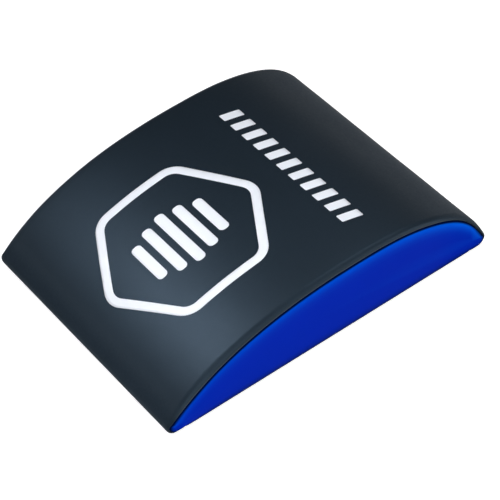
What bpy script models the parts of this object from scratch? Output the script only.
"""Ab mat: an arched block of dense foam in a sewn leatherette cover with a zip underneath.

The mat lies on its flat underside. +X points to one side panel, +Y from the low front edge to the
steep rear, and +Z up. The origin is on the floor under the middle of the mat. Sizes are in metres.
"""

import math

import bmesh
import bpy

# The mat over its cover
MAT_LENGTH = 0.380
MAT_WIDTH = 0.3015
MAT_HEIGHT = 0.0813
CREST_FROM_FRONT = 0.2344
NOSE_RADIUS = 0.0090
HEEL_RADIUS = 0.0098

# How the arch falls from its crest: the share of the fall that is gentle, then the power of the
# gentle part and the power of the steep part
FRONT_FALL_SHARES = (0.76, 2.36, 8.1)
REAR_FALL_SHARES = (0.58, 2.49, 10.8)

# The cover and its seams
COVER_THICKNESS = 0.0016
FIT_GAP = 0.0003
EDGE_ROLL = 0.0127
EDGE_DROP = 0.0042
BASE_DROP = 0.0028
SEAM_ROOM = 0.0008
SIDE_BULGE = 0.0010
SIDE_ROLL = 0.0065
TURN_UNDER = 0.0100

# How high the line lies that the side panel's face gathers to, as a share of the arch's height
SPINE_HEIGHT_SHARE = 0.45

# The zip's window in the underside
ZIP_FROM_REAR = 0.0950
WINDOW_TO_SIDE = 0.0162
WINDOW_WIDTH = 0.0140
WINDOW_CORNER = 0.0030
TAPE_THICKNESS = 0.0006
TAPE_SEAT = 0.0034
TAPE_IN_SPINE = 0.0010

# The teeth, moulded on a spine along the edge of each tape
TOOTH_PITCH = 0.0036
TOOTH_THICKNESS = 0.0026
TOOTH_LOCK = 0.0001
TOOTH_HEAD = 0.0015
TOOTH_SHOULDER = 0.0003
TOOTH_CHAMFER = 0.0003
SPINE_WIDTH = 0.0022
STOP_LENGTH = 0.0040
STOP_RISE = 0.0010

# The slider and its pull
SLIDER_LENGTH = 0.0120
SLIDER_FLANGE = 0.0010
SLIDER_FLARE = 0.0006
SLIDER_PLATE = 0.0010
SLIDER_EDGE = 0.0003
WEDGE_WIDTH = 0.0028
WEDGE_LENGTH = 0.0040
BAIL_BAR = 0.0009
BAIL_LEG = 0.0010
BAIL_WIDTH = 0.0020
BAIL_OPENING_LENGTH = 0.0018
BAIL_OPENING_HEIGHT = 0.0020
BAIL_TO_FLOOR = 0.0005
PULL_LENGTH = 0.0200
PULL_WIDTH = 0.0062
PULL_THICKNESS = 0.0010
PULL_BAR = 0.0012
PULL_ARM = 0.0011
PULL_EYE_LENGTH = 0.0030
PULL_EYE_PLAY = 0.0004
PULL_GRIP_LENGTH = 0.0080
PULL_GRIP_WIDTH = 0.0026
PULL_CORNER = 0.0009
PULL_TO_WINDOW = 0.0025

# A cutter runs this far past what it cuts, and points closer than this are one
OVERRUN = 0.0010
SAME_POINT = 0.00001

# How finely the round forms are divided
FRONT_STEPS = 18
REAR_STEPS = 15
ARC_STEPS = 6
ROLL_STEPS = 4
SIDE_STEPS = 3
CORNER_STEPS = 4
SOLVER_STEPS = 40
SMOOTH_ANGLE = math.radians(35)

# Places worked out from the sizes above
SEAM_X = MAT_WIDTH / 2 - SIDE_BULGE
ROLL_X = SEAM_X - EDGE_ROLL
FRONT_Y = -MAT_LENGTH / 2
CREST_Y = FRONT_Y + CREST_FROM_FRONT
ZIP_Y = MAT_LENGTH / 2 - ZIP_FROM_REAR
WINDOW_END_X = SEAM_X - WINDOW_TO_SIDE
PULL_AXIS_Z = BAIL_TO_FLOOR + BAIL_BAR + BAIL_OPENING_HEIGHT / 2
PLATE_Z = PULL_AXIS_Z + BAIL_OPENING_HEIGHT / 2
CHANNEL_Z = PLATE_Z + SLIDER_PLATE
TAPE_Z = CHANNEL_Z + FIT_GAP + TOOTH_THICKNESS / 2
SLOT_HALF = TAPE_THICKNESS / 2 + FIT_GAP
SHOULDER_Y = TOOTH_SHOULDER
TIP_Y = SHOULDER_Y + TOOTH_HEAD
SPINE_Y = TIP_Y + FIT_GAP
SPINE_BACK_Y = SPINE_Y + SPINE_WIDTH
TAPE_EDGE_Y = SPINE_BACK_Y - TAPE_IN_SPINE
TAPE_OUTER_Y = WINDOW_WIDTH / 2 + COVER_THICKNESS + TAPE_SEAT
CHANNEL_Y = SPINE_BACK_Y + FIT_GAP
SLIDER_REST_X = WINDOW_END_X - PULL_LENGTH - PULL_TO_WINDOW
STOP_X = SLIDER_REST_X + SLIDER_LENGTH / 2 + FIT_GAP


def clear_scene():
    for leftover in list(bpy.data.objects):
        bpy.data.objects.remove(leftover)


def finish(name, colour, roughness, metallic=0.0):
    """A plain material in the piece's own colour."""
    made = bpy.data.materials.new(name)
    made.use_nodes = True
    shader = made.node_tree.nodes["Principled BSDF"]
    shader.inputs["Base Color"].default_value = (*colour, 1.0)
    shader.inputs["Roughness"].default_value = roughness
    shader.inputs["Metallic"].default_value = metallic
    return made


def add_object(name, bm, material=None, at=(0.0, 0.0, 0.0)):
    """Turns a bmesh into a named object; one without a material is a hidden cutter or joiner."""
    mesh = bpy.data.meshes.new(name)
    bm.to_mesh(mesh)
    bm.free()
    mesh.shade_smooth()
    mesh.set_sharp_from_angle(angle=SMOOTH_ANGLE)
    made = bpy.data.objects.new(name, mesh)
    made.location = at
    bpy.context.collection.objects.link(made)
    if material:
        mesh.materials.append(material)
    else:
        made.hide_render = True
        made.display_type = "WIRE"
    return made


def combine(target, other, operation):
    boolean = target.modifiers.new(f"{operation.lower()} {other.name}", "BOOLEAN")
    boolean.operation = operation
    boolean.solver = "EXACT"
    boolean.object = other


def prism(outline, axis, low, high):
    """An outline run from low to high along one axis. The outline is in the other two, in order."""
    place = {
        "X": lambda a, b, run: (run, a, b),
        "Y": lambda a, b, run: (a, run, b),
        "Z": lambda a, b, run: (a, b, run),
    }[axis]
    bm = bmesh.new()
    ends = [[bm.verts.new(place(a, b, run)) for a, b in outline] for run in (low, high)]
    bm.faces.new(ends[0])
    bm.faces.new(ends[1])
    for here, following in zip(range(len(outline)), list(range(1, len(outline))) + [0]):
        bm.faces.new([ends[0][here], ends[0][following], ends[1][following], ends[1][here]])
    bmesh.ops.recalc_face_normals(bm, faces=bm.faces)
    return bm


def rectangle(low_a, high_a, low_b, high_b):
    return [(low_a, low_b), (high_a, low_b), (high_a, high_b), (low_a, high_b)]


def rounded(corners, radius):
    """The outline with each corner turned into an arc, no longer than half of the sides it joins."""
    outline = []
    for here, (a, b) in enumerate(corners):
        before, after = corners[here - 1], corners[(here + 1) % len(corners)]
        to_before = math.atan2(before[1] - b, before[0] - a)
        to_after = math.atan2(after[1] - b, after[0] - a)
        turn = (to_after - to_before + math.pi) % math.tau - math.pi
        room = min(math.dist(before, (a, b)), math.dist(after, (a, b))) / 2
        reach = min(radius / math.tan(abs(turn) / 2), room)
        used = reach * math.tan(abs(turn) / 2)
        middle = to_before + turn / 2
        distance = math.hypot(reach, used)
        centre = (a + distance * math.cos(middle), b + distance * math.sin(middle))
        start = math.atan2(
            b + reach * math.sin(to_before) - centre[1],
            a + reach * math.cos(to_before) - centre[0],
        )
        sweep = math.copysign(math.pi - abs(turn), -turn)
        for step in range(CORNER_STEPS + 1):
            angle = start + sweep * step / CORNER_STEPS
            point = (centre[0] + used * math.cos(angle), centre[1] + used * math.sin(angle))
            if not outline or math.dist(point, outline[-1]) > SAME_POINT:
                outline.append(point)
    if math.dist(outline[0], outline[-1]) < SAME_POINT:
        outline.pop()
    return outline


def arch_height(out_share, shares):
    """Height and slope, as shares, where the arch has run out_share of the way from its crest."""
    gentle, low_power, high_power = shares
    steep = 1 - gentle
    height = 1 - gentle * out_share**low_power - steep * out_share**high_power
    slope = gentle * low_power * out_share ** (low_power - 1)
    slope += steep * high_power * out_share ** (high_power - 1)
    return height, slope


def arch_point(run, out_share, shares):
    """A point of the arch as (distance from the crest, height, outward normal's two parts)."""
    height, slope = arch_height(out_share, shares)
    fall = slope * MAT_HEIGHT / run
    length = math.hypot(fall, 1)
    return run * out_share, MAT_HEIGHT * height, fall / length, 1 / length


def corner_share(run, radius, shares):
    """How far out the arch meets the arc that rounds it off to the floor."""
    low, high = 0.0, 1.0
    for _ in range(SOLVER_STEPS):
        middle = (low + high) / 2
        _, height, _, normal_up = arch_point(run, middle, shares)
        if height > radius * (1 + normal_up):
            low = middle
        else:
            high = middle
    return low


def half_arch(reach, radius, shares, steps):
    """From the crest to the floor: the falling curve, then an arc that ends flat on the floor."""
    run = reach
    for _ in range(SOLVER_STEPS):
        end = corner_share(run, radius, shares)
        out, _, normal_out, _ = arch_point(run, end, shares)
        centre = out - radius * normal_out
        run += reach - (centre + radius)
    places = [end * math.sin(math.pi / 2 * step / steps) for step in range(steps + 1)]
    points = [arch_point(run, place, shares) for place in places]
    start = math.atan2(points[-1][3], points[-1][2])
    for step in range(1, ARC_STEPS + 1):
        angle = start - (start + math.pi / 2) * step / ARC_STEPS
        across, up = math.cos(angle), math.sin(angle)
        points.append((centre + radius * across, radius * (1 + up), across, up))
    return points


def arch_profile():
    """The side view from the front turn-under over the crest to the rear one, with normals."""
    front = half_arch(CREST_FROM_FRONT, NOSE_RADIUS, FRONT_FALL_SHARES, FRONT_STEPS)
    rear_reach = MAT_LENGTH - CREST_FROM_FRONT
    rear = half_arch(rear_reach, HEEL_RADIUS, REAR_FALL_SHARES, REAR_STEPS)
    over = [(CREST_Y - out, up, -across, rise) for out, up, across, rise in reversed(front)]
    over += [(CREST_Y + out, up, across, rise) for out, up, across, rise in rear[1:]]
    first = (over[0][0] + TURN_UNDER, 0.0, 0.0, -1.0)
    last = (over[-1][0] - TURN_UNDER, 0.0, 0.0, -1.0)
    return [first] + over + [last]


def mix(under, over, rise):
    """A size that is one thing where the cover faces the floor and another where it faces up."""
    return under + (over - under) * (1 + rise) / 2


def rolled_edge(angle, depth, drop):
    """Where the edge roll is at this angle, with the surface sunk by depth: (x, sinking)."""
    along = EDGE_ROLL * math.cos(angle)
    down = drop * math.sin(angle)
    length = math.hypot(along, down)
    x = ROLL_X + EDGE_ROLL * math.sin(angle) - depth * down / length
    sinking = drop * (1 - math.cos(angle)) + depth * along / length
    return x, sinking


def ring(profile, angle, depth, seam_gap):
    """The profile round the mat at one angle of the edge roll, sunk by depth."""
    over = rolled_edge(angle, depth, EDGE_DROP)
    under = rolled_edge(angle, depth, BASE_DROP)
    points = []
    for y, z, across, rise in profile:
        sinking = mix(under[1], over[1], rise) + seam_gap
        points.append((mix(under[0], over[0], rise), y - sinking * across, z - sinking * rise))
    return points


def rings_across(profile, depth, seam_gap):
    """Rings from one side seam to the other. The last ones stop seam_gap short of the seam."""
    quarter = math.pi / 2
    half = [ring(profile, quarter * step / ROLL_STEPS, depth, 0.0) for step in range(ROLL_STEPS)]
    half.append(ring(profile, quarter, depth, -seam_gap))
    return mirrored(half) + half


def crest_height(y):
    """The arch's height above a place on the floor, near enough to aim the side panel's loops."""
    if y < CREST_Y:
        share = (CREST_Y - y) / CREST_FROM_FRONT
        return MAT_HEIGHT * arch_height(share, FRONT_FALL_SHARES)[0]
    share = (y - CREST_Y) / (MAT_LENGTH - CREST_FROM_FRONT)
    return MAT_HEIGHT * arch_height(share, REAR_FALL_SHARES)[0]


def side_loops(depth):
    """Closed loops from the side seam to the flat face of the side panel, for the +X side.

    They gather towards a line inside the crescent, which ends over the turned-under edges.
    """
    profile = arch_profile()
    outline = ring(profile, math.pi / 2, 0.0, SEAM_ROOM)
    low_y, high_y = profile[0][0], profile[-1][0]
    loops = []
    for step in range(SIDE_STEPS + 1):
        share = step / SIDE_STEPS
        x = SEAM_X + SIDE_BULGE * (1 - (1 - share) ** 2) - depth
        loop = []
        for _, y, z in outline:
            aim_y = min(max(y, low_y), high_y)
            aim_z = SPINE_HEIGHT_SHARE * crest_height(aim_y)
            distance = math.dist((y, z), (aim_y, aim_z))
            move = SIDE_ROLL * share / distance
            loop.append((x, y + (aim_y - y) * move, z + (aim_z - z) * move))
        loops.append(loop)
    return loops


def mirrored(loops):
    return [[(-x, y, z) for x, y, z in loop] for loop in reversed(loops)]


def skin(loops, closed, cap_first=False, cap_last=False):
    """A surface through loops that run across the mat, with its faces outwards."""
    bm = bmesh.new()
    rows = [[bm.verts.new(point) for point in loop] for loop in loops]
    count = len(rows[0])
    for row, following in zip(rows, rows[1:]):
        for here in range(count if closed else count - 1):
            beside = (here + 1) % count
            bm.faces.new([row[here], following[here], following[beside], row[beside]])
    if cap_first:
        bm.faces.new(rows[0])
    if cap_last:
        bm.faces.new(list(reversed(rows[-1])))
    return bm


def thicken(panel):
    """Gives a panel the cover's thickness, inwards from its outer face."""
    solidify = panel.modifiers.new("cover thickness", "SOLIDIFY")
    solidify.thickness = COVER_THICKNESS
    solidify.offset = -1
    solidify.use_even_offset = True


def make_foam_core():
    depth = COVER_THICKNESS + FIT_GAP
    side = side_loops(depth + FIT_GAP)
    loops = mirrored(side) + rings_across(arch_profile(), depth, 0.0) + side
    foam = finish("polyurethane foam", (0.16, 0.17, 0.18), 0.9)
    core = add_object("foam_core", skin(loops, True, True, True), foam)
    wall = WINDOW_WIDTH / 2 + COVER_THICKNESS + FIT_GAP
    seat = TAPE_OUTER_Y + FIT_GAP
    channel = CHANNEL_Y + SLIDER_FLANGE + SLIDER_FLARE + FIT_GAP
    top = CHANNEL_Z + 2 * FIT_GAP + TOOTH_THICKNESS + SLIDER_PLATE + FIT_GAP
    half = [
        (wall, -OVERRUN),
        (wall, TAPE_Z - SLOT_HALF),
        (seat, TAPE_Z - SLOT_HALF),
        (seat, TAPE_Z + SLOT_HALF),
        (channel, TAPE_Z + SLOT_HALF),
        (channel, top),
    ]
    section = [(ZIP_Y + y, z) for y, z in half] + [(ZIP_Y - y, z) for y, z in reversed(half)]
    end = WINDOW_END_X + COVER_THICKNESS + TAPE_SEAT + FIT_GAP
    well = add_object("zip_well_cutter", prism(section, "X", -end, end))
    combine(core, well, "DIFFERENCE")


def make_top_panel():
    leather = finish("black synthetic leather", (0.014, 0.020, 0.027), 0.5)
    loops = rings_across(arch_profile(), 0.0, FIT_GAP / 2)
    thicken(add_object("top_panel", skin(loops, False), leather))


def make_side_panels():
    leather = finish("blue synthetic leather", (0.0, 0.022, 0.42), 0.45)
    loops = side_loops(0.0)
    thicken(add_object("side_panel_right", skin(loops, True, cap_last=True), leather))
    thicken(add_object("side_panel_left", skin(mirrored(loops), True, cap_first=True), leather))


def make_base_panel():
    """The underside, with a window for the zip whose rim is turned up into the foam."""
    cloth = finish("non-slip base cloth", (0.012, 0.013, 0.015), 0.8)
    first, *_, last = arch_profile()
    edges = [
        (last[0] - FIT_GAP, *last[1:]),
        (first[0] + FIT_GAP, *first[1:]),
    ]
    panel = add_object("base_panel", skin(rings_across(edges, 0.0, FIT_GAP / 2), False), cloth)
    thicken(panel)
    window = rectangle(
        -WINDOW_END_X, WINDOW_END_X, ZIP_Y - WINDOW_WIDTH / 2, ZIP_Y + WINDOW_WIDTH / 2
    )
    rim = rectangle(
        window[0][0] - COVER_THICKNESS,
        window[2][0] + COVER_THICKNESS,
        window[0][1] - COVER_THICKNESS,
        window[2][1] + COVER_THICKNESS,
    )
    rim_outline = rounded(rim, WINDOW_CORNER + COVER_THICKNESS)
    window_outline = rounded(window, WINDOW_CORNER)
    rim_low = COVER_THICKNESS / 2
    rim_high = TAPE_Z - SLOT_HALF
    riser = add_object("zip_rim_joiner", prism(rim_outline, "Z", rim_low, rim_high))
    opening = prism(window_outline, "Z", -OVERRUN, rim_high + OVERRUN)
    combine(panel, riser, "UNION")
    combine(panel, add_object("zip_window_cutter", opening), "DIFFERENCE")


def tape_slot(name, low_x, high_x, side):
    """The cutter for the slot that holds the tape's edge, open towards the outside of the zip."""
    near, far = ZIP_Y + side * (TAPE_EDGE_Y - FIT_GAP), ZIP_Y + side * (SPINE_BACK_Y + OVERRUN)
    outline = rectangle(low_x - OVERRUN, high_x + OVERRUN, min(near, far), max(near, far))
    return add_object(name, prism(outline, "Z", TAPE_Z - SLOT_HALF, TAPE_Z + SLOT_HALF))


def tooth_outline(x, side):
    """One tooth, from its neck on the spine out over the head and back to the neck."""
    head = (TOOTH_PITCH / 2 + TOOTH_LOCK) / 2
    neck = TOOTH_PITCH / 2 - FIT_GAP - head
    half = [
        (neck, -SPINE_Y),
        (neck, SHOULDER_Y),
        (head, SHOULDER_Y),
        (head, TIP_Y - TOOTH_CHAMFER),
        (head - TOOTH_CHAMFER, TIP_Y),
    ]
    points = [(-a, b) for a, b in half] + [(a, b) for a, b in reversed(half)]
    return [(x + a, ZIP_Y - side * b) for a, b in points]


def make_zip_half(name, side):
    """A tape with its row of teeth. side is 1 for the rear half and -1 for the front half."""
    woven = finish(f"{name} polyester tape", (0.015, 0.016, 0.018), 0.85)
    moulded = finish(f"{name} moulded teeth", (0.02, 0.021, 0.023), 0.35)
    tape_end = WINDOW_END_X + COVER_THICKNESS + TAPE_SEAT
    near, far = ZIP_Y + side * TAPE_EDGE_Y, ZIP_Y + side * TAPE_OUTER_Y
    outline = rectangle(-tape_end, tape_end, min(near, far), max(near, far))
    low, high = TAPE_Z - TAPE_THICKNESS / 2, TAPE_Z + TAPE_THICKNESS / 2
    add_object(f"zip_tape_{name}", prism(outline, "Z", low, high), woven)

    start, end = -STOP_X + FIT_GAP, STOP_X - FIT_GAP
    count = int((SLIDER_REST_X - start) / TOOTH_PITCH)
    first = start + TOOTH_PITCH * (0.5 if side > 0 else 1.0)
    last_tooth = SLIDER_REST_X - TOOTH_PITCH / 2
    teeth = []
    for place in range(count):
        x = first + place * TOOTH_PITCH
        if x <= last_tooth:
            teeth += tooth_outline(x, side)
    spine = ZIP_Y + side * SPINE_Y
    back = ZIP_Y + side * SPINE_BACK_Y
    comb = [(start, back), (start, spine)] + teeth + [(end, spine), (end, back)]
    low, high = TAPE_Z - TOOTH_THICKNESS / 2, TAPE_Z + TOOTH_THICKNESS / 2
    row = add_object(f"zip_teeth_{name}", prism(comb, "Z", low, high), moulded)
    combine(row, tape_slot(f"teeth_slot_{name}", start, end, side), "DIFFERENCE")
    make_top_stop(name, side)


def make_top_stop(name, side):
    """The block that halts the slider at the closed end, on one tape."""
    moulded = finish(f"{name} moulded stop", (0.02, 0.021, 0.023), 0.35)
    near, far = ZIP_Y + side * SPINE_Y, ZIP_Y + side * SPINE_BACK_Y
    outline = rectangle(STOP_X, STOP_X + STOP_LENGTH, min(near, far), max(near, far))
    half = TOOTH_THICKNESS / 2 + STOP_RISE
    stop = add_object(f"zip_top_stop_{name}", prism(outline, "Z", TAPE_Z - half, TAPE_Z + half), moulded)
    slot = tape_slot(f"top_stop_slot_{name}", STOP_X, STOP_X + STOP_LENGTH, side)
    combine(stop, slot, "DIFFERENCE")


def make_bottom_stop():
    """The block that joins both tapes at the open end's limit."""
    moulded = finish("moulded bottom stop", (0.02, 0.021, 0.023), 0.35)
    low_x, high_x = -STOP_X - STOP_LENGTH, -STOP_X
    outline = rectangle(low_x, high_x, ZIP_Y - SPINE_BACK_Y, ZIP_Y + SPINE_BACK_Y)
    half = TOOTH_THICKNESS / 2 + STOP_RISE
    stop = add_object("zip_bottom_stop", prism(outline, "Z", TAPE_Z - half, TAPE_Z + half), moulded)
    for name, side in (("front", -1), ("rear", 1)):
        combine(stop, tape_slot(f"bottom_stop_slot_{name}", low_x, high_x, side), "DIFFERENCE")


def make_slider():
    """Two plates joined by a wedge, with a bail under the lower one. Its origin is on the pull's axis."""
    metal = finish("black lacquered zinc", (0.03, 0.03, 0.032), 0.4, 0.9)
    at = (SLIDER_REST_X, ZIP_Y, PULL_AXIS_Z)
    narrow = CHANNEL_Y + SLIDER_FLANGE
    wide = narrow + SLIDER_FLARE
    half_length = SLIDER_LENGTH / 2
    plan = [
        (-half_length, -narrow),
        (0.0, -narrow),
        (half_length / 2, -wide),
        (half_length, -wide),
        (half_length, wide),
        (half_length / 2, wide),
        (0.0, narrow),
        (-half_length, narrow),
    ]
    low = PLATE_Z - PULL_AXIS_Z
    channel_low = CHANNEL_Z - PULL_AXIS_Z
    channel_high = channel_low + 2 * FIT_GAP + TOOTH_THICKNESS
    high = channel_high + SLIDER_PLATE
    slider = add_object("zip_slider", prism(rounded(plan, narrow / 3), "Z", low, high), metal, at)
    bevel = slider.modifiers.new("softened edges", "BEVEL")
    bevel.width = SLIDER_EDGE
    bevel.segments = 2
    bevel.limit_method = "ANGLE"

    reach = half_length + OVERRUN
    channel = rectangle(-reach, reach, -CHANNEL_Y, CHANNEL_Y)
    cutter = add_object("slider_channel_cutter", prism(channel, "Z", channel_low, channel_high), at=at)
    combine(slider, cutter, "DIFFERENCE")
    slots = rectangle(-reach, reach, -wide - OVERRUN, wide + OVERRUN)
    tape_low, tape_high = TAPE_Z - SLOT_HALF - PULL_AXIS_Z, TAPE_Z + SLOT_HALF - PULL_AXIS_Z
    cutter = add_object("slider_slot_cutter", prism(slots, "Z", tape_low, tape_high), at=at)
    combine(slider, cutter, "DIFFERENCE")

    wedge_back = half_length - SLIDER_PLATE
    wedge = [
        (wedge_back - WEDGE_LENGTH, 0.0),
        (wedge_back - WEDGE_LENGTH / 2, -WEDGE_WIDTH / 2),
        (wedge_back, -WEDGE_WIDTH / 3),
        (wedge_back, WEDGE_WIDTH / 3),
        (wedge_back - WEDGE_LENGTH / 2, WEDGE_WIDTH / 2),
    ]
    wedge_low, wedge_high = channel_low - SLIDER_PLATE / 2, channel_high + SLIDER_PLATE / 2
    joiner = add_object("slider_wedge_joiner", prism(wedge, "Z", wedge_low, wedge_high), at=at)
    combine(slider, joiner, "UNION")

    inner = BAIL_OPENING_LENGTH / 2
    outer = inner + BAIL_LEG
    foot = low + SLIDER_PLATE / 2
    floor = -BAIL_OPENING_HEIGHT / 2
    bail = [
        (-outer, foot),
        (-outer, floor),
        (-inner, floor - BAIL_BAR),
        (inner, floor - BAIL_BAR),
        (outer, floor),
        (outer, foot),
        (inner, foot),
        (inner, floor),
        (-inner, floor),
        (-inner, foot),
    ]
    joiner = add_object("slider_bail_joiner", prism(bail, "Y", -BAIL_WIDTH / 2, BAIL_WIDTH / 2), at=at)
    combine(slider, joiner, "UNION")
    return slider


def make_pull(slider):
    """The tab that hangs in the slider's bail. Its origin is the middle of the bar in the bail."""
    metal = finish("black lacquered pull", (0.03, 0.03, 0.032), 0.4, 0.9)
    eye = BAIL_WIDTH / 2 + PULL_EYE_PLAY
    neck = eye + PULL_ARM
    half_bar = PULL_BAR / 2
    shoulder = half_bar + PULL_EYE_LENGTH + PULL_BAR
    plan = [
        (half_bar, neck),
        (-shoulder, neck),
        (-shoulder - PULL_ARM, PULL_WIDTH / 2),
        (-PULL_LENGTH, PULL_WIDTH / 2),
        (-PULL_LENGTH, -PULL_WIDTH / 2),
        (-shoulder - PULL_ARM, -PULL_WIDTH / 2),
        (-shoulder, -neck),
        (half_bar, -neck),
    ]
    low, high = -PULL_THICKNESS / 2, PULL_THICKNESS / 2
    pull = add_object("zip_pull", prism(rounded(plan, PULL_CORNER), "Z", low, high), metal)
    at = (SLIDER_REST_X, ZIP_Y, PULL_AXIS_Z)
    hole = rectangle(-half_bar - PULL_EYE_LENGTH, -half_bar, -eye, eye)
    eye_cutter = add_object("pull_eye_cutter", prism(hole, "Z", low - OVERRUN, high + OVERRUN), at=at)
    combine(pull, eye_cutter, "DIFFERENCE")
    grip_end = -PULL_LENGTH + (PULL_WIDTH - PULL_GRIP_WIDTH) / 2
    grip = rectangle(
        grip_end, grip_end + PULL_GRIP_LENGTH, -PULL_GRIP_WIDTH / 2, PULL_GRIP_WIDTH / 2
    )
    grip = rounded(grip, PULL_GRIP_WIDTH / 2)
    grip_cutter = add_object("pull_grip_cutter", prism(grip, "Z", low - OVERRUN, high + OVERRUN), at=at)
    combine(pull, grip_cutter, "DIFFERENCE")
    pull.parent = slider


def main():
    clear_scene()
    make_foam_core()
    make_top_panel()
    make_side_panels()
    make_base_panel()
    make_zip_half("front", -1)
    make_zip_half("rear", 1)
    make_bottom_stop()
    make_pull(make_slider())


main()
